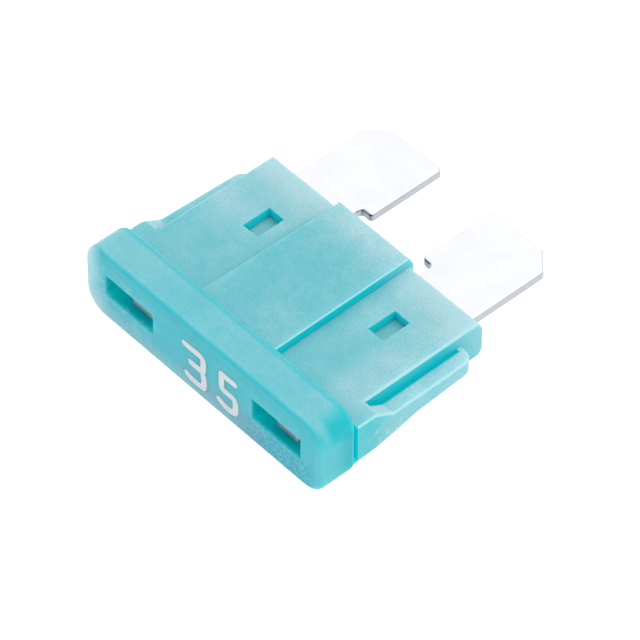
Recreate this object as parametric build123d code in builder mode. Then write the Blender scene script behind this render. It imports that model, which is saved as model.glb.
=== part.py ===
"""A medium plug-in blade fuse: one moulded housing round one stamped fuse strip.

The fuse lies on its wide face. X runs across the two blades, Y from the head to the
blade tips and Z up through the thickness. The origin is under the middle of the part.
"""
import os

from build123d import *

# Overall size, in millimetres
overall_length = 19.35
head_width = 19.3
head_thickness = 5.1

# Head: the thick bar that the fingers or a puller grip
head_length = 2.45
head_corner_radius = 1.5
head_edge_round = 0.3
head_back_round = 0.3

# Body: a wide panel with a raised pad down the middle of each face
body_length = 12.7
panel_thickness = 2.68
panel_width_at_head = 16.85
panel_width_at_end = 16.7
panel_edge_round = 0.2
pad_thickness = 4.02
pad_width_at_head = 5.95
pad_width_at_end = 5.65
pad_edge_round = 0.1
lead_in_length = 0.3
lead_in_drop = 0.6

# Side wings: a shoulder beside the head that ramps down to a thin guide rail
wing_width = 19.0
wing_taper = 0.15
wing_length = 8.7
wing_overlap = 0.5
wing_shift = 0.1
wing_corner_radius = 0.8
wing_edge_round = 0.15
shoulder_length = 1.45
ramp_length = 1.3
ramp_blend_radius = 0.8
rail_rise_at_ramp = 0.57
rail_rise_at_end = 0.48
underside_depth = 1.5
underside_ramp_length = 3.0
rail_drop_at_ramp = 0.72
rail_drop_at_end = 0.52
rail_width = 0.85
trench_web = 0.5
trench_start = 1.75
trench_end_wall = 0.35

# Relief groove where the shoulder meets the back of the head
relief_width = 0.36
relief_overlap = 0.2
relief_depth = 0.12
relief_end_wall = 0.2

# Probe slots: two pockets in the head face that bare the strip to a tester
slot_width = 3.95
slot_height = 1.6
slot_pitch = 11.95
slot_rise = 0.15
slot_depth = 2.1

# Fuse strip: two blades, their test tabs and the fusing link, stamped in one piece
strip_thickness = 0.65
strip_edge_round = 0.15
strip_overlap = 0.4
blade_span = 14.5
blade_width = 5.2
blade_start = 2.7
tip_chamfer_across = 1.2
tip_chamfer_along = 1.1
tip_blend_radius = 0.3
notch_depth = 0.8
notch_end = 14.05
notch_radius = 0.25
tab_width = 1.9
tab_pitch = 11.8
tab_shift = 0.4
tab_recess = 0.5
tab_corner_radius = 0.25

# Link: a thinner, coined arch between the blades with a narrow neck that melts
link_thickness = 0.4
link_width = 1.0
link_crown = 4.8
link_root = 8.6
link_leg_gap = 1.35
link_bend_radius = 0.75
link_neck_width = 0.5
link_neck_radius = 0.5

# Chamber that gives the link its air, open at the blade end
chamber_width = 4.9
chamber_height = 2.3
chamber_start = 3.6

# Stakes: the housing pressed through a hole in each blade, from both faces
stake_pitch = 10.17
stake_shift = 0.2
stake_station = 8.7
recess_width = 1.2
recess_length = 1.95
recess_depth = 0.72
stake_width = 0.8
stake_length = 1.5

# Room left between the strip and its channels
strip_clearance = 0.03

# Places worked out from the sizes above
front_y = -overall_length / 2
mid_z = head_thickness / 2
blade_outer = blade_span / 2
blade_inner = blade_outer - blade_width
neck_inner = blade_inner + notch_depth
link_leg = neck_inner - link_leg_gap
wing_outer = wing_width / 2
wing_outer_at_end = wing_outer - wing_taper
tab_centres = (tab_shift - tab_pitch / 2, tab_shift + tab_pitch / 2)
slot_centres = (-slot_pitch / 2, slot_pitch / 2)
stake_centres = (stake_shift - stake_pitch / 2, stake_shift + stake_pitch / 2)


def station(distance):
    """Y of a place that lies this far behind the head's front face."""
    return front_y + distance


def half_way(start, end):
    """Y of the middle between two such distances."""
    return station((start + end) / 2)


head_face = Plane(origin=(0, front_y, mid_z), x_dir=(1, 0, 0), z_dir=(0, -1, 0))
mid_plane = Plane.XY.offset(mid_z)


def tapered_slab(width_at_head, width_at_end, thickness, edge_round):
    """A flat slab from inside the head to the body's bevelled end, centred on the strip."""
    root = station(head_length / 2)
    end = station(body_length)
    with BuildPart() as slab:
        with BuildSketch(Plane(origin=(0, 0, mid_z), x_dir=(0, 1, 0), z_dir=(1, 0, 0))):
            with BuildLine():
                Polyline(
                    (root, 0),
                    (root, thickness / 2),
                    (end - lead_in_length, thickness / 2),
                    (end, thickness / 2 - lead_in_drop),
                    (end, 0),
                    close=True,
                )
            make_face()
            mirror(about=Plane.XZ)
        extrude(amount=width_at_head / 2, both=True)
        with BuildSketch(mid_plane):
            with BuildLine():
                Polyline(
                    (-width_at_head / 2, root),
                    (width_at_head / 2, root),
                    (width_at_end / 2, end),
                    (-width_at_end / 2, end),
                    close=True,
                )
            make_face()
        extrude(amount=thickness, both=True, mode=Mode.INTERSECT)
        rims = slab.faces().filter_by(Axis.Z).edges()
        fillet(rims.sort_by(Axis.Y)[2:], edge_round)
    return slab.part


def head_bar():
    """The rounded bar at the top of the fuse."""
    with BuildPart() as bar:
        with BuildSketch(head_face):
            RectangleRounded(head_width, head_thickness, head_corner_radius)
        extrude(amount=-head_length)
        fillet(bar.faces().sort_by(Axis.Y)[0].edges(), head_edge_round)
        fillet(bar.faces().sort_by(Axis.Y)[-1].edges(), head_back_round)
    return bar.part


def side_wing():
    """The shoulder, ramp and grooved rail on the +X side."""
    root = panel_width_at_end / 2 - wing_overlap
    back = station(head_length / 2)
    end = station(head_length + wing_length)
    ramp_start = station(head_length + shoulder_length)
    ramp_end = ramp_start + ramp_length
    shoulder_top = panel_thickness / 2
    side_plane = Plane(origin=(root, 0, mid_z), x_dir=(0, 1, 0), z_dir=(1, 0, 0))
    with BuildPart() as wing:
        with BuildSketch(side_plane) as profile:
            with BuildLine():
                Polyline(
                    (back, -underside_depth),
                    (back, shoulder_top),
                    (ramp_start, shoulder_top),
                    (ramp_end, rail_rise_at_ramp),
                    (end, rail_rise_at_end),
                    (end, -rail_drop_at_end),
                    (ramp_start + underside_ramp_length, -rail_drop_at_ramp),
                    (ramp_start, -shoulder_top),
                    close=True,
                )
            make_face()
            bends = profile.vertices().sort_by(Axis.X)[2:-2]
            fillet(bends, ramp_blend_radius)
        extrude(amount=wing_outer - root)
        with BuildSketch(mid_plane) as plan:
            with BuildLine():
                Polyline(
                    (root, back),
                    (wing_outer, back),
                    (wing_outer, ramp_end),
                    (wing_outer_at_end, end),
                    (root, end),
                    close=True,
                )
            make_face()
            outer_end = plan.vertices().group_by(Axis.Y)[-1].sort_by(Axis.X)[-1]
            fillet(outer_end, wing_corner_radius)
        extrude(amount=head_thickness, both=True, mode=Mode.INTERSECT)
        outer_rims = wing.edges().filter_by(lambda e: e.center().X > wing_outer_at_end - wing_corner_radius)
        outer_rims = outer_rims.filter_by(Axis.Z, reverse=True).filter_by(Axis.X, reverse=True)
        fillet(outer_rims, wing_edge_round)
        # The trench between rail and body, cut from both faces down to a thin web
        for side in (1, -1):
            with BuildSketch(mid_plane.offset(side * trench_web / 2)):
                with BuildLine():
                    Polyline(
                        (root, station(head_length + trench_start)),
                        (wing_outer - rail_width, station(head_length + trench_start)),
                        (wing_outer - rail_width, ramp_end),
                        (wing_outer_at_end - rail_width, end - trench_end_wall),
                        (root, end - trench_end_wall),
                        close=True,
                    )
                make_face()
            extrude(amount=side * panel_thickness, mode=Mode.SUBTRACT)
    return wing.part


def both_sides(shape):
    """The shape and its mirror image in X."""
    with BuildPart() as pair:
        add(shape)
        mirror(about=Plane.YZ)
    return pair.part


def strip_pocket():
    """The hollow that takes the strip: its flat channel, the tab channels and the chamber."""
    with BuildPart() as hollow:
        with BuildSketch(mid_plane):
            with Locations((0, half_way(blade_start, body_length))):
                Rectangle(blade_span + 2 * strip_clearance, body_length - blade_start)
            with Locations(*[(x, half_way(slot_depth, blade_start)) for x in tab_centres]):
                Rectangle(tab_width + 2 * strip_clearance, blade_start - slot_depth)
        extrude(amount=strip_thickness / 2 + strip_clearance, both=True)
        with BuildSketch(mid_plane):
            with Locations((0, half_way(chamber_start, body_length))):
                Rectangle(chamber_width, body_length - chamber_start)
        extrude(amount=chamber_height / 2, both=True)
    return hollow.part


def stake_plugs():
    """Plan outline of the two plugs, which fill the holes in the strip."""
    with BuildSketch(mid_plane) as plan:
        with Locations(*[(x, station(stake_station)) for x in stake_centres]):
            SlotOverall(stake_length, stake_width, rotation=90)
    return plan.sketch


# Housing: one moulding, open at the blade end and staked onto the strip
with BuildPart() as housing:
    add(head_bar())
    add(tapered_slab(panel_width_at_head, panel_width_at_end, panel_thickness, panel_edge_round))
    add(tapered_slab(pad_width_at_head, pad_width_at_end, pad_thickness, pad_edge_round))
    with Locations((wing_shift, 0, 0)):
        add(both_sides(side_wing()))
    # Relief grooves across the joint of head and shoulder
    relief_centre = station(head_length - relief_overlap + relief_width / 2)
    relief_reach = head_width / 2 - wing_outer + wing_shift + relief_depth
    relief_floor = relief_end_wall - underside_depth
    with BuildSketch(mid_plane.offset(relief_floor)):
        with Locations((-head_width / 2, relief_centre), (head_width / 2, relief_centre)):
            Rectangle(2 * relief_reach, relief_width)
    extrude(amount=panel_thickness / 2 - relief_floor, mode=Mode.SUBTRACT)
    # Probe slots
    with BuildSketch(head_face):
        with Locations(*[(x, slot_rise) for x in slot_centres]):
            Rectangle(slot_width, slot_height)
    extrude(amount=-slot_depth, mode=Mode.SUBTRACT)
    add(strip_pocket(), mode=Mode.SUBTRACT)
    # Stakes: a recess pressed into each face and a plug through the strip
    for side in (1, -1):
        with BuildSketch(mid_plane.offset(side * (panel_thickness / 2 - recess_depth))):
            with Locations(*[(x, station(stake_station)) for x in stake_centres]):
                Rectangle(recess_width, recess_length)
        extrude(amount=side * panel_thickness, mode=Mode.SUBTRACT)
    extrude(stake_plugs(), amount=strip_thickness, both=True)

# Fuse strip: plated zinc, stamped from one sheet
with BuildPart() as fuse_strip:
    blade_tip = station(overall_length)
    with BuildSketch(mid_plane) as blade:
        with BuildLine():
            Polyline(
                (neck_inner, station(blade_start)),
                (blade_outer, station(blade_start)),
                (blade_outer, blade_tip - tip_chamfer_along),
                (blade_outer - tip_chamfer_across, blade_tip),
                (blade_inner, blade_tip),
                (blade_inner, station(notch_end)),
                (neck_inner, station(notch_end)),
                close=True,
            )
        make_face()
        tip_corners = blade.vertices().filter_by(lambda v: v.Y > station(notch_end) + tip_blend_radius)
        fillet(tip_corners, tip_blend_radius)
        notch_corners = blade.vertices().filter_by(lambda v: abs(v.Y - station(notch_end)) < tip_blend_radius)
        fillet(notch_corners, notch_radius)
        mirror(about=Plane.YZ)
    extrude(amount=strip_thickness / 2, both=True)
    fillet(fuse_strip.faces().filter_by(Axis.Z).edges(), strip_edge_round)
    # Test tabs that reach up into the probe slots
    with BuildSketch(mid_plane) as tabs:
        with Locations(*[(x, half_way(tab_recess, blade_start + strip_overlap)) for x in tab_centres]):
            Rectangle(tab_width, blade_start + strip_overlap - tab_recess)
        fillet(tabs.vertices().group_by(Axis.Y)[0], tab_corner_radius)
    extrude(amount=strip_thickness / 2, both=True)
    # Fusing link, from one blade's inner edge up to the crown and down to the other's
    with BuildSketch(mid_plane):
        with BuildLine():
            FilletPolyline(
                (-neck_inner - strip_overlap, station(link_root)),
                (-link_leg, station(link_root)),
                (-link_leg, station(link_crown)),
                (link_leg, station(link_crown)),
                (link_leg, station(link_root)),
                (neck_inner + strip_overlap, station(link_root)),
                radius=link_bend_radius,
            )
        trace(line_width=link_width)
        with Locations(
            (0, station(link_crown) - link_neck_width / 2 - link_neck_radius),
            (0, station(link_crown) + link_neck_width / 2 + link_neck_radius),
        ):
            Circle(link_neck_radius, mode=Mode.SUBTRACT)
    extrude(amount=link_thickness / 2, both=True)
    # Stake holes
    extrude(stake_plugs(), amount=strip_thickness, both=True, mode=Mode.SUBTRACT)

os.makedirs("parts", exist_ok=True)
housing.part.label = "housing"
export_step(housing.part, "parts/housing.step")
fuse_strip.part.label = "fuse_strip"
export_step(fuse_strip.part, "parts/fuse_strip.step")
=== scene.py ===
# %% [markdown]
# # A plug-in blade fuse
#
# This lesson dresses a small automotive fuse: one milky blue-green plastic housing moulded round
# one stamped metal strip, with the rating printed in white on its head.
# The shapes come from a CAD model that is loaded as a fixed frame. Everything is in metres,
# with X across the two blades, Y from the head to the blade tips and Z up from the table.

# %% Load the CAD frame
import math

import bpy
from mathutils import Matrix, Vector


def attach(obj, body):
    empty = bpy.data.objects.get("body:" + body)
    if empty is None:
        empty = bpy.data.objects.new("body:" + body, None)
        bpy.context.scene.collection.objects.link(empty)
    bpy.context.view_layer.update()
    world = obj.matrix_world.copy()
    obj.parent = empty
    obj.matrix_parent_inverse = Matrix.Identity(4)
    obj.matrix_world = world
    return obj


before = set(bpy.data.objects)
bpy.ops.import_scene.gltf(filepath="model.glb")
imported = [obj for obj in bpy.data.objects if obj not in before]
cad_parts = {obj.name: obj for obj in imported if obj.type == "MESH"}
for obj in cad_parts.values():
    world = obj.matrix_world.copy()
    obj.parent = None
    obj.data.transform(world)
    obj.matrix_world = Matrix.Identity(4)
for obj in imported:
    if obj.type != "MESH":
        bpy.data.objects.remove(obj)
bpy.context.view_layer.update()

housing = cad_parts["housing"]
fuse_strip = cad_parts["fuse_strip"]

# %% [markdown]
# ## Units and two helpers
#
# A fuse is 19 mm wide, so its sizes read best in millimetres. One value turns them to metres.
# Colours are written as the hex values that an image editor shows, and one function turns them
# to the linear light that shaders work in. A second function adds a shader node with its settings
# and links in one call, so that a material reads as a short list. Sockets that share a name are
# given by number: inputs 6 and 7 of a Mix node are its two colours, and output 2 is their mix.

# %% Millimetres, colours and nodes
MM = 0.001
MIXED = 2


def linear(hex_colour):
    """An sRGB hex colour as linear RGBA."""
    channels = [int(hex_colour[i : i + 2], 16) / 255 for i in (1, 3, 5)]
    return [c / 12.92 if c <= 0.04045 else ((c + 0.055) / 1.055) ** 2.4 for c in channels] + [1.0]


def add_node(material, kind, settings=None, **inputs):
    """A new node: settings are its properties, and each input is a value or another node's output."""
    node = material.node_tree.nodes.new(kind)
    for name, value in (settings or {}).items():
        setattr(node, name, value)
    for name, value in inputs.items():
        socket = node.inputs[int(name[1:])] if name[1:].isdigit() else node.inputs[name.replace("_", " ")]
        if isinstance(value, bpy.types.NodeSocket):
            material.node_tree.links.new(value, socket)
        else:
            socket.default_value = value
    return node


def new_material(name):
    """An empty node material, and its output node."""
    material = bpy.data.materials.new(name)
    material.use_nodes = True
    material.node_tree.nodes.clear()
    return material, material.node_tree.nodes.new("ShaderNodeOutputMaterial")


print("one millimetre is", MM, "m; mid teal is", [round(c, 3) for c in linear("#49B6C2")[:3]])

# %% [markdown]
# ## The camera
#
# The photograph was taken from above the right end of the head, from far away with a long lens,
# which is why parallel edges stay nearly parallel. A camera could be aimed by hand until the edges
# match, but here its place was solved from the fuse's known sizes: two angles, a distance, a point
# it looks at and a focal length. The three axes of the camera are worked out from the angles and
# put in its matrix as columns.

# %% Place the camera
CAMERA_AZIMUTH = math.radians(48.313)
CAMERA_ELEVATION = math.radians(47.718)
CAMERA_ROLL = math.radians(-0.055)
CAMERA_DISTANCE = 356.13 * MM
CAMERA_TARGET = Vector((1.564, -2.61, 2.5)) * MM
SENSOR_WIDTH = 36.0
IMAGE_WIDTH = 640
FOCAL_PIXELS = 6612.9

camera_back = Vector((
    math.sin(CAMERA_AZIMUTH) * math.cos(CAMERA_ELEVATION),
    -math.cos(CAMERA_AZIMUTH) * math.cos(CAMERA_ELEVATION),
    math.sin(CAMERA_ELEVATION),
))
level_right = Vector((math.cos(CAMERA_AZIMUTH), math.sin(CAMERA_AZIMUTH), 0))
level_up = camera_back.cross(level_right)
camera_right = level_right * math.cos(CAMERA_ROLL) + level_up * math.sin(CAMERA_ROLL)
camera_up = level_up * math.cos(CAMERA_ROLL) - level_right * math.sin(CAMERA_ROLL)

bpy.ops.object.select_all(action="DESELECT")
bpy.ops.object.camera_add()
camera = bpy.context.object
camera.name = "camera"
camera.matrix_world = Matrix.Translation(CAMERA_TARGET + camera_back * CAMERA_DISTANCE) @ Matrix(
    (camera_right, camera_up, camera_back)
).transposed().to_4x4()
camera.data.sensor_width = SENSOR_WIDTH
camera.data.lens = FOCAL_PIXELS * SENSOR_WIDTH / IMAGE_WIDTH
camera.data.clip_start = 1 * MM
camera.data.clip_end = 10
bpy.context.scene.camera = camera
print("lens", round(camera.data.lens, 1), "mm at", [round(v * 1000, 1) for v in camera.location], "mm")

# %% [markdown]
# ## The moulded housing
#
# The real housing is injection-moulded from a clear engineering plastic, tinted blue-green and
# slightly milky. Light goes in at the top, wanders a few millimetres and comes out again. Red is
# absorbed on the way, so thick places, recesses and faces turned from the light look a deeper
# cyan, while the spark-eroded top faces, which send light straight back, look pale.
# A glass shader with a coloured volume could do this, but it is noisy and shows the inside
# sharply. Subsurface scattering gives the milky look directly, and the rest of the colour is built
# from masks: smooth steps in the place on the fuse and in the direction that a face looks. Much of
# that colour is painted light and shade: a pale painted sheen and painted highlights where light
# falls, a painted glow in recesses and painted shade on some edges of the head.
# Below, x, y and z are places in millimetres, across is the distance from the middle of the fuse,
# flat is 1 where a face looks up or down, and sideways is 1 where it looks left or right.

# %% Where on the housing, in millimetres
plastic, plastic_out = new_material("tinted_moulded_plastic")
place = add_node(plastic, "ShaderNodeTexCoord")
in_mm = add_node(
    plastic, "ShaderNodeVectorMath", {"operation": "SCALE"}, Vector=place.outputs["Object"], Scale=1 / MM,
)
x, y, z = add_node(plastic, "ShaderNodeSeparateXYZ", Vector=in_mm.outputs["Vector"]).outputs
normal = add_node(plastic, "ShaderNodeSeparateXYZ", Vector=place.outputs["Normal"]).outputs
MIDDLE_Z = 2.55
above_middle = add_node(plastic, "ShaderNodeMath", {"operation": "SUBTRACT"}, _0=z, _1=MIDDLE_Z).outputs[0]
across, flat, sideways, from_middle = [
    add_node(plastic, "ShaderNodeMath", {"operation": "ABSOLUTE"}, _0=value).outputs[0]
    for value in (x, normal["Z"], normal["X"], above_middle)
]
print("the housing's middle plane is", MIDDLE_Z, "mm above the table")

# %% [markdown]
# ### Patterns that the mould leaves
#
# The mould is cut by spark erosion, which leaves a grain of about a tenth of a millimetre. Where
# the melt cooled at different speeds the milkiness comes out in blotches of half a millimetre, and
# flow fronts leave clouds of several millimetres. Three noises of those sizes stand for them.
# Handling leaves fine slanted scratches, and a few specks of dust stick to the plastic. A real
# scratch is too fine to show at this distance, so the scratches are drawn 0.4 mm apart.

# %% Noise at real sizes
PATTERN_SIZES = {"cloud": 4.5, "mottle": 0.67, "grain": 0.125, "dust": 0.24}
cloud, mottle, grain, dust = [
    add_node(
        plastic, "ShaderNodeTexNoise",
        Vector=in_mm.outputs["Vector"], Scale=1 / size, Detail=3.0, Roughness=0.6,
    ).outputs["Fac"]
    for size in PATTERN_SIZES.values()
]
SCRATCH_SIZE = 0.42
SCRATCH_SLANT = 0.5
SCRATCH_STRETCH = (1.0, 2.2, 0.7)
slanted = add_node(
    plastic, "ShaderNodeMapping",
    Vector=in_mm.outputs["Vector"], Rotation=(SCRATCH_SLANT, 0.0, 0.0), Scale=SCRATCH_STRETCH,
)
scratches = add_node(
    plastic, "ShaderNodeTexNoise",
    Vector=slanted.outputs["Vector"], Scale=1 / SCRATCH_SIZE, Detail=3.0, Roughness=0.7,
).outputs["Fac"]
print("patterns in mm:", PATTERN_SIZES, "and scratches of", SCRATCH_SIZE)

# %% [markdown]
# ### Masks
#
# A mask is a value from 0 to 1 on the surface. Each one here is a product of smooth steps, so it is
# written as a short list, and one function turns the list into nodes. A step such as
# (z, 3.0, 0.9, 0, 1) is 0 where z is 3 mm or more, and grows to 1 where z is 0.9 mm or less.

# %% A mask is a product of smooth steps


def mask(*steps):
    """A product of numbers, masks and steps (value, start, end, low, high) from low to high."""
    product = 1.0
    for step in steps:
        if isinstance(step, tuple):
            value, start, end, low, high = step
            step = add_node(
                plastic, "ShaderNodeMapRange", {"interpolation_type": "SMOOTHSTEP"},
                Value=value, From_Min=start, From_Max=end, To_Min=low, To_Max=high,
            ).outputs[0]
        product = add_node(
            plastic, "ShaderNodeMath", {"operation": "MULTIPLY"}, _0=product, _1=step,
        ).outputs[0]
    return product


def gather(operation, masks):
    """Several masks gathered into one, by sum or by maximum."""
    total = 0.0
    for one in masks:
        total = add_node(plastic, "ShaderNodeMath", {"operation": operation}, _0=total, _1=one).outputs[0]
    return total


print("masks are products, sums and maxima of smooth steps")

# %% [markdown]
# ### Parts of the housing
#
# Some masks come back again and again: the head and the body behind it, the faces that look up,
# the outer faces as against the floors of slots and channels near the middle plane, and the front
# face of the head, which carries the print.

# %% Masks for the parts of the housing
HEAD_BACK = -7.2
BORDER = 0.1
on_body = mask((y, HEAD_BACK - BORDER, HEAD_BACK + BORDER, 0, 1))
on_head = mask((y, HEAD_BACK + BORDER, HEAD_BACK - BORDER, 0, 1))
facing_up = mask((flat, 0.2, 0.95, 0, 1))
front_face = mask((y, -9.5, -9.6, 0, 1))
outer_face = gather("MAXIMUM", [
    mask((from_middle, 0.3, 0.45, 0, 1), on_body),
    mask((from_middle, 1.4, 1.9, 0, 1)),
])
less_on_walls = mask((flat, 0.2, 0.95, 0.35, 1))
print("the head ends and the body begins at Y", HEAD_BACK, "mm")

# %% [markdown]
# ### Painted sheen
#
# The faces that look up catch the most light, and that light is painted into the colour as a pale
# sheen: most of all near the blades, where the wall is thin over the metal, in paler patches on the
# panels and towards the blade end, with a painted highlight along the rounded rims. A sum gathers
# the painted sheen of the faces, and a maximum adds painted light on the ends and corners, which
# catch the light from the side, and a slightly paler front face.

# %% Painted sheen on the faces
# painted sheen: faces that look up are made pale where the light falls, more on the rail tops and over the
# blades
sheen_on_flat_faces = mask(0.42, facing_up, outer_face)
rail_top_sheen = mask(0.08, facing_up, outer_face, (across, 8.4, 8.7, 0, 1), (y, -5.6, -4.6, 0.3, 1))
over_blades = mask(less_on_walls, (across, 2.6, 4.2, 0, 1), (y, -4.0, 0.5, 0, 0.24))
# paler patches on the right and left panels
pale_patch_right = mask(less_on_walls, (x, 5.4, 7.2, 0, 0.22), (y, -7.2, -6.0, 0, 1), (y, 0.0, -2.5, 0, 1))
pale_patch_left = mask(less_on_walls, (x, -3.6, -5.6, 0, 0.09), (y, -5.0, -2.5, 0, 1), (y, 0.0, -1.5, 0, 1))
blade_end = mask((y, -0.2, 3.2, 0, 0.62), (sideways, 0.3, 0.8, 1, 0.75))
# painted highlight: paler along the rounded rims of the body
rim_highlight = mask((flat, 0.97, 0.75, 0, 1), (flat, 0.15, 0.4, 0, 0.8), (y, -7.2, -7.0, 0, 1))
face_sheen = gather(
    "ADD", [sheen_on_flat_faces, rail_top_sheen, over_blades, pale_patch_right, pale_patch_left, blade_end, rim_highlight],
)
print("frost on the faces is a sum of seven masks")

# %% Painted light on ends and corners
# painted light: the wing ends, paler towards the bottom, the head ends, and a painted highlight on rounded
# corners
wing_end_light = mask(on_body, (across, 8.7, 9.2, 0, 1), (y, -6.2, -4.4, 0.24, 0.55), (z, 3.9, 1.5, 0.95, 1.1))
head_end_light = mask(on_head, (across, 8.7, 9.2, 0, 1), (y, -7.3, -9.0, 0.02, 0.24))
corner_highlight = mask((sideways, 0.1, 0.5, 0, 0.3), (sideways, 1.0, 0.9, 0, 1))
# the front face of the head a little paler
paler_front = mask((y, -9.45, -9.6, 0, 0.16))
all_sheen = gather("MAXIMUM", [face_sheen, wing_end_light, head_end_light, corner_highlight, paler_front])
# the painted sheen and painted light, broken up by the mould's three patterns
painted_sheen = mask(
    all_sheen,
    (cloud, 0.36, 0.64, 0.86, 1.14), (mottle, 0.32, 0.68, 0.93, 1.07), (grain, 0.32, 0.68, 0.82, 1.18),
)
print("frost also covers ends, corners and the front, and all three patterns break it up")

# %% [markdown]
# ### Glow in the recesses
#
# Inside slots, grooves and windows the light has come through the plastic, so they glow in its
# deepest colour instead of going dark. Ambient occlusion finds those places: it is low where walls
# stand close.

# %% Recess glow
RECESS_REACH = 2.0
shelter = add_node(
    plastic, "ShaderNodeAmbientOcclusion", {"samples": 8, "only_local": True}, Distance=RECESS_REACH * MM,
).outputs["AO"]
# painted glow: occluded places get a brighter, deeper cyan, less of it on the flat outer faces of the body
flat_outer_body = mask(flat, outer_face, on_body)
glow = mask((shelter, 0.72, 0.2, 0, 1), (flat_outer_body, 0.5, 0.9, 1, 0.35))
head_glow = mask(glow, on_head)
body_glow = mask(glow, on_body, 0.8)
groove_glow = mask(glow, on_body, (across, 7.7, 8.3, 0, 1))
print("recesses glow within", RECESS_REACH, "mm of a wall")

# %% [markdown]
# ### Thin ends and deep edges
#
# The left end of the head is seen against the light through thin plastic and fades to white, and
# so does the lowest rim of its front face; this light is painted into the colour. A rounded edge of a
# clear moulding shows a longer way through the plastic than the face beside it, so it looks deeper,
# not lighter. The head's front edge, its back rim, the back of its right end and the far corner of
# its top get this deep tint as painted shade.

# %% Thin ends and deep edges
# painted light: the thin left end, its foot and the lowest rim of the front are made pale
thin_end = mask(on_head, (x, -8.0, -9.6, 0, 0.95), (flat, 0.9, 0.5, 0.3, 1))
thin_foot = mask(on_head, (x, -7.4, -8.8, 0, 0.85), (z, 2.2, 0.4, 0, 1))
low_rim = mask(on_head, (z, 1.5, 0.3, 0, 0.6), (x, 4.5, 0.5, 0.1, 1), (grain, 0.35, 0.6, 0.4, 1))
# painted shade: a deeper colour on these edges of the head
deep_back = mask(on_head, (sideways, 0.8, 1.0, 0, 1), (x, 8.5, 9.2, 0, 1), (y, -8.8, -7.6, 0, 0.8))
front_edge = mask(
    (y, -9.15, -9.45, 0, 1), (z, 3.9, 4.4, 0, 1), (flat, 0.98, 0.8, 0, 0.35), (flat, 0.0, 0.2, 0.5, 1),
)
back_rim = mask(on_head, (y, -7.8, -7.5, 0, 0.6), (z, 4.0, 4.5, 0, 1))
far_corner = mask(on_head, (x, 8.0, 9.2, 0, 0.9), (y, -9.2, -8.6, 0, 1), (z, 3.5, 4.4, 0, 1))
print("three thin places and four deep ones on the head")

# %% [markdown]
# ### Wear
#
# The head's front is what fingers and pullers touch, so its lower half is scuffed, with a bluish
# haze and a rough patch under the right slot, and a broken dark line runs along its top edge. Tiny
# bubbles left under the surface make its left end look like fine foam. The side of the wing has
# short slanted scratches, and light and dark specks lie everywhere.

# %% Foam, scuffs and nicks on the head
foam = mask(
    (y, -9.2, -9.6, 0, 0.8), (x, -1.0, -8.0, 0, 1), (z, 4.5, 4.0, 0, 1),
    (mottle, 0.42, 0.7, 0, 1), (grain, 0.45, 0.6, 0.2, 1),
)
scuffs = mask(
    0.75, front_face, (z, 3.0, 0.9, 0, 1), (x, -3.0, 1.0, 0.35, 1), (x, 4.0, 5.8, 1, 0.1),
    (grain, 0.42, 0.62, 0.25, 1),
)
# a broken dark line along the head's top front edge
top_edge_flecks = mask(
    (y, -8.9, -9.3, 0, 1), (z, 3.6, 4.3, 0, 0.35), (mottle, 0.5, 0.62, 0, 1), (grain, 0.45, 0.6, 0, 1),
)
under_slot = mask(front_face, (z, 2.3, 1.4, 0, 1), (x, 2.6, 4.2, 0, 1), (x, 9.2, 8.2, 0, 1))
blue_scuffs = mask(under_slot, (grain, 0.56, 0.44, 0, 0.42))
white_scuffs = mask(under_slot, (grain, 0.56, 0.68, 0, 0.55), (mottle, 0.4, 0.6, 0.3, 1))
print("wear on the head: foam, nicks and three kinds of scuff")

# %% Scratches and specks
wing_scratches = mask(
    (across, 9.2, 9.4, 0, 1), (z, 3.2, 2.4, 0, 1), (y, -6.8, -5.8, 0, 1), (y, -3.0, -4.2, 0, 1),
    (scratches, 0.54, 0.66, 0, 0.8),
)
pale_specks = mask((dust, 0.765, 0.8, 0, 0.5))
dark_specks = mask((dust, 0.225, 0.19, 0, 0.6))
print("wear on the rest: scratches on the wings and two kinds of speck")

# %% [markdown]
# ### The plastic's colour, layer by layer
#
# The tint starts as the deep blue-green of the clear plastic, a little greener on flat faces. Each
# mask then lays its colour over what is there, in the order of the list. Several layers are painted
# light and shade: the painted sheen, the painted glow in recesses, painted shade on edges of the
# head and painted light at its thin ends; the others are foam, scuffs, flecks, scratches and specks.

# %% Tint in layers
side_tint = add_node(
    plastic, "ShaderNodeMix", {"data_type": "RGBA"}, Factor=mask((sideways, 0.3, 0.8, 0, 1)),
    _6=linear("#00CCDC"), _7=linear("#00C9D3"),
)
flat_tint = add_node(
    plastic, "ShaderNodeMix", {"data_type": "RGBA"}, Factor=on_body,
    _6=linear("#00C2CE"), _7=linear("#00BCC7"),
)
tint = add_node(
    plastic, "ShaderNodeMix", {"data_type": "RGBA"}, Factor=facing_up,
    _6=side_tint.outputs[MIXED], _7=flat_tint.outputs[MIXED],
)
LAYERS = [
    (deep_back, "#00B8C0"), (painted_sheen, "#B8DCE3"),
    (head_glow, "#00FFFF"), (body_glow, "#00D8DE"), (groove_glow, "#00E2EA"),
    (front_edge, "#00B8C0"), (back_rim, "#30BBC6"), (far_corner, "#00C3CC"),
    (thin_end, "#CFF6FA"), (thin_foot, "#CFF6FA"), (low_rim, "#C8F2F6"),
    (foam, "#A9E3EA"), (scuffs, "#9FBBD2"), (top_edge_flecks, "#1C9DAA"),
    (blue_scuffs, "#3F92BE"), (white_scuffs, "#C4E2EC"), (wing_scratches, "#BCE4EC"),
    (pale_specks, "#D6EEF2"), (dark_specks, "#2E8F9C"),
]
for layer_mask, colour in LAYERS:
    tint = add_node(
        plastic, "ShaderNodeMix", {"data_type": "RGBA", "clamp_factor": True}, Factor=layer_mask,
        _6=tint.outputs[MIXED], _7=linear(colour),
    )
print("the tint has", len(LAYERS), "layers")

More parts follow.
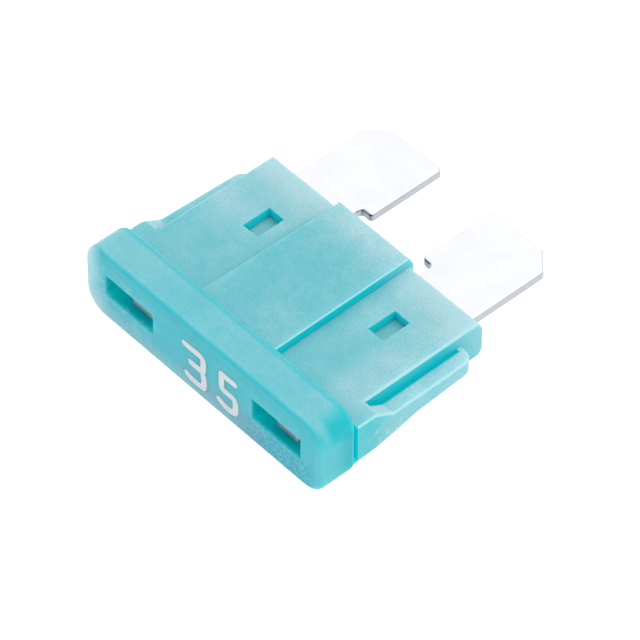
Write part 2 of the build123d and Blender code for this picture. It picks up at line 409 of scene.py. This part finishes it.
# %% [markdown]
# ### The plastic's shader
#
# A clear engineering plastic bends light with an index of 1.57, and the eroded mould makes its
# gloss soft, so the highlights are broad and weak. Light scatters over 0.9 mm in green and blue
# and over less than half of that in red. The grain gives the faces a slight bump.

# %% Tinted moulded plastic
GRAIN_DEPTH = 0.02
SCATTER_LENGTH = 0.9
SCATTER_BY_COLOUR = (0.4, 1.0, 1.0)
eroded = add_node(plastic, "ShaderNodeBump", Strength=0.45, Distance=GRAIN_DEPTH * MM, Height=grain)
plastic_shader = add_node(
    plastic, "ShaderNodeBsdfPrincipled",
    Base_Color=tint.outputs[MIXED], Roughness=0.42, IOR=1.57, Specular_IOR_Level=0.15,
    Normal=eroded.outputs["Normal"], Subsurface_Weight=1.0,
    Subsurface_Radius=SCATTER_BY_COLOUR, Subsurface_Scale=SCATTER_LENGTH * MM,
)
plastic.node_tree.links.new(plastic_shader.outputs["BSDF"], plastic_out.inputs["Surface"])
housing.data.materials.clear()
housing.data.materials.append(plastic)
print("housing finish:", plastic.name, len(plastic.node_tree.nodes), "nodes")

# %% [markdown]
# ## The stamped strip
#
# The strip is zinc sheet, rolled, plated with tin and then stamped. Rolling leaves fine lines
# along it, nine to the millimetre, and handling leaves smudges of two or three millimetres. The
# faces are satin and nearly white. The sheared edges have no plating and are grey. A scanned
# metal picture could show this too, but two noises and the direction of the face are enough.

# %% Patterns on the metal
LINES_PER_MM = 9
LINE_STRETCH = 0.12
LINE_DEPTH = 0.01
SMUDGE_SIZE = 2.38
metal, metal_out = new_material("tin_plated_zinc")
metal_place = add_node(metal, "ShaderNodeTexCoord")
rolled = add_node(
    metal, "ShaderNodeMapping", Vector=metal_place.outputs["Object"], Scale=(1.0, LINE_STRETCH, 1.0),
)
lines = add_node(
    metal, "ShaderNodeTexNoise", Vector=rolled.outputs["Vector"], Scale=LINES_PER_MM / MM, Detail=2.0,
)
smudges = add_node(
    metal, "ShaderNodeTexNoise",
    Vector=metal_place.outputs["Object"], Scale=1 / (SMUDGE_SIZE * MM), Detail=4.0, Roughness=0.6,
)
print("rolled lines:", LINES_PER_MM, "to the mm; smudges:", SMUDGE_SIZE, "mm")

# %% Tin-plated zinc
metal_bump = add_node(
    metal, "ShaderNodeBump", Strength=0.15, Distance=LINE_DEPTH * MM, Height=lines.outputs["Fac"],
)
metal_facing = add_node(metal, "ShaderNodeSeparateXYZ", Vector=metal_place.outputs["Normal"])
metal_flat = add_node(metal, "ShaderNodeMath", {"operation": "ABSOLUTE"}, _0=metal_facing.outputs["Z"])
plated = add_node(metal, "ShaderNodeMapRange", Value=metal_flat.outputs[0], From_Min=0.3, From_Max=0.97)
face_tint = add_node(
    metal, "ShaderNodeMix", {"data_type": "RGBA"}, Factor=smudges.outputs["Fac"],
    _6=linear("#DDDFE2"), _7=linear("#F3F3F5"),
)
metal_tint = add_node(
    metal, "ShaderNodeMix", {"data_type": "RGBA"}, Factor=plated.outputs[0],
    _6=linear("#9FA2A7"), _7=face_tint.outputs[MIXED],
)
metal_shader = add_node(
    metal, "ShaderNodeBsdfPrincipled",
    Base_Color=metal_tint.outputs[MIXED], Metallic=1.0, Roughness=0.32, Normal=metal_bump.outputs["Normal"],
)
metal.node_tree.links.new(metal_shader.outputs["BSDF"], metal_out.inputs["Surface"])
fuse_strip.data.materials.clear()
fuse_strip.data.materials.append(metal)
print("strip finish:", metal.name)

# %% [markdown]
# ## The printed rating
#
# The rating is pad-printed in white ink: strokes of one width with round ends. A text object would
# need a font file, so each stroke is a smooth path of (x, z) places on the head's front face, given
# a round section and then pressed flat. The 3 takes two strokes and the 5 takes one.

# %% The strokes of the digits, in millimetres
INK_WIDTH = 0.47
INK_PROUD = 0.01
HEAD_FACE = -9.675
DIGIT_PATHS = {
    "ink_3": [
        (-1.38, 3.40), (-0.80, 3.40), (-0.20, 3.42), (0.10, 3.30),
        (0.12, 2.90), (0.08, 2.34), (-0.30, 2.26), (-0.90, 2.28),
    ],
    "ink_3_lower": [
        (-0.60, 2.26), (0.00, 2.26), (0.14, 1.90), (0.16, 1.30),
        (0.06, 1.00), (-0.40, 0.98), (-0.90, 1.00), (-1.24, 1.14),
    ],
    "ink_5": [
        (2.64, 3.44), (2.20, 3.42), (1.75, 3.43), (1.60, 3.44), (1.59, 3.30),
        (1.59, 2.90), (1.58, 2.35), (1.70, 2.24), (2.20, 2.24), (2.66, 2.22),
        (2.72, 1.80), (2.70, 1.20), (2.40, 1.03), (1.90, 1.02), (1.38, 1.22),
    ],
}
print(len(DIGIT_PATHS), "strokes of ink,", INK_WIDTH, "mm wide")

# %% [markdown]
# ### Round ends and one stroke
#
# A path's section stops square at its ends, and a pad print's strokes end round. So each path goes
# on past its ends by half a stroke width, with a radius that shrinks as on a circle.

# %% Make a stroke
INK_END = ((0.5, 0.87), (0.85, 0.53), (0.99, 0.14))
STEPS_ALONG = 8
STEPS_ROUND = 4


def round_end(path):
    """Points past the first point of a path, as parts of the stroke's radius, with shrinking radii."""
    out = (Vector(path[0]) - Vector(path[1])).normalized() * INK_WIDTH / 2
    return [(*(Vector(path[0]) + out * far), radius) for far, radius in reversed(INK_END)]


def ink_stroke(name, path):
    """One stroke of ink along a path of (x, z) places on the head's front face, in millimetres."""
    bpy.ops.object.select_all(action="DESELECT")
    bpy.ops.curve.primitive_nurbs_path_add()
    stroke = bpy.context.object
    stroke.name = name
    stroke.data.splines.clear()
    spline = stroke.data.splines.new("NURBS")
    whole = round_end(path) + [(x, z, 1.0) for x, z in path] + round_end(path[::-1])[::-1]
    spline.points.add(len(whole) - 1)
    for point, (x, z, radius) in zip(spline.points, whole):
        point.co = (x * MM, 0, z * MM, 1)
        point.radius = radius
    spline.order_u = 3
    spline.use_endpoint_u = True
    stroke.data.resolution_u = STEPS_ALONG
    stroke.data.bevel_depth = INK_WIDTH / 2 * MM
    stroke.data.bevel_resolution = STEPS_ROUND
    stroke.data.use_fill_caps = True
    bpy.ops.object.convert(target="MESH")
    bpy.ops.transform.resize(value=(1, INK_PROUD / (INK_WIDTH / 2), 1))
    bpy.ops.object.transform_apply(location=True, rotation=True, scale=True)
    bpy.ops.transform.translate(value=(0, HEAD_FACE * MM, 0))
    bpy.ops.object.transform_apply(location=True, rotation=True, scale=True)
    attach(stroke, "root")
    return stroke


print("a stroke ends", INK_WIDTH / 2, "mm past its path")

# %% [markdown]
# ### The ink
#
# A pad lays the ink down in a film of a few hundredths of a millimetre. It doesn't cover quite
# evenly, so the white is broken by a noise of a quarter of a millimetre, and it dries satin.

# %% White pad-printing ink
INK_PATCH = 0.25
ink, ink_out = new_material("white_pad_printing_ink")
ink_place = add_node(ink, "ShaderNodeTexCoord")
ink_cover = add_node(
    ink, "ShaderNodeTexNoise", Vector=ink_place.outputs["Object"], Scale=1 / (INK_PATCH * MM), Detail=2.0,
)
ink_colour = add_node(
    ink, "ShaderNodeMix", {"data_type": "RGBA"}, Factor=ink_cover.outputs["Fac"],
    _6=linear("#D8E8EE"), _7=linear("#F0F5F9"),
)
ink_shader = add_node(ink, "ShaderNodeBsdfPrincipled", Base_Color=ink_colour.outputs[MIXED], Roughness=0.5)
ink.node_tree.links.new(ink_shader.outputs["BSDF"], ink_out.inputs["Surface"])
for name, path in DIGIT_PATHS.items():
    stroke = ink_stroke(name, path)
    stroke.data.materials.append(ink)
    print(name, len(stroke.data.polygons), "faces")

# %% [markdown]
# ## The table
#
# The fuse lies on white paper. Paper lit like the fuse would come out grey, and more light would
# bleach the fuse, so the Light Path node adds a glow to the paper only where the camera, a
# reflection or a see-through part looks at it. The light that the paper throws back on the fuse
# stays plain. The table lies a hair under the fuse, so that the two faces don't flicker.

# %% White table
TABLE_GLOW = 0.85
TABLE_SIZE = 2
TABLE_DROP = 0.02


def white_where_seen(material, plain, white):
    """The plain shader for light on the object, and the white one for what is seen."""
    ray = add_node(material, "ShaderNodeLightPath")
    seen = 0.0
    for kind in ("Is Camera Ray", "Is Glossy Ray", "Is Transmission Ray"):
        seen = add_node(
            material, "ShaderNodeMath", {"operation": "MAXIMUM"}, _0=seen, _1=ray.outputs[kind],
        ).outputs[0]
    return add_node(material, "ShaderNodeMixShader", _0=seen, _1=plain.outputs[0], _2=white.outputs[0])


table, table_out = new_material("white_table")
paper = add_node(table, "ShaderNodeBsdfDiffuse", Color=linear("#F4F5F6"))
paper_glow = add_node(table, "ShaderNodeEmission", Color=(1, 1, 1, 1), Strength=TABLE_GLOW)
glowing_paper = add_node(table, "ShaderNodeAddShader", _0=paper.outputs[0], _1=paper_glow.outputs[0])
table_shader = white_where_seen(table, paper, glowing_paper)
table.node_tree.links.new(table_shader.outputs[0], table_out.inputs["Surface"])

bpy.ops.object.select_all(action="DESELECT")
bpy.ops.mesh.primitive_plane_add(size=TABLE_SIZE, location=(0, 0, -TABLE_DROP * MM))
floor = bpy.context.object
floor.name = "floor"
bpy.ops.object.transform_apply(location=True, rotation=True, scale=True)
floor.data.materials.append(table)
print("table is", tuple(round(v, 2) for v in floor.dimensions), "m")

# %% [markdown]
# ## The light
#
# The photograph has the soft, nearly even light of a white tent. The world gives most of it, a
# large softbox at the right makes the right ends lighter than the front, and a faint one at the
# back left lifts the far edges. The world too is drawn white only where it is seen.

# %% World
SKY_LIGHT = 0.65
world = bpy.data.worlds.new("studio")
bpy.context.scene.world = world
world.use_nodes = True
world.node_tree.nodes.clear()
world_out = world.node_tree.nodes.new("ShaderNodeOutputWorld")
sky_plain = add_node(world, "ShaderNodeBackground", Color=(1, 1, 1, 1), Strength=SKY_LIGHT)
sky_white = add_node(world, "ShaderNodeBackground", Color=(1, 1, 1, 1), Strength=1.0)
sky = white_where_seen(world, sky_plain, sky_white)
world.node_tree.links.new(sky.outputs[0], world_out.inputs["Surface"])
print("the world lights the fuse at", SKY_LIGHT)

# %% Softboxes
SOFTBOX_SIZE = 0.3
SOFTBOXES = {
    "softbox_right": ((0.16, 0.02, 0.33), 0.58),
    "softbox_back_left": ((-0.21, 0.19, 0.31), 0.06),
}
for name, (location, watts) in SOFTBOXES.items():
    bpy.ops.object.select_all(action="DESELECT")
    bpy.ops.object.light_add(type="AREA", location=location)
    softbox = bpy.context.object
    softbox.name = name
    softbox.data.shape = "SQUARE"
    softbox.data.size = SOFTBOX_SIZE
    softbox.data.energy = watts
    softbox.rotation_euler = (-softbox.location).to_track_quat("-Z", "Y").to_euler()
    print(name, watts, "W at", round(softbox.location.length, 2), "m")

# %% [markdown]
# ## Output
#
# The view transform is Standard, so that a colour renders about as it is written.

# %% Finish
bpy.context.scene.view_settings.view_transform = "Standard"
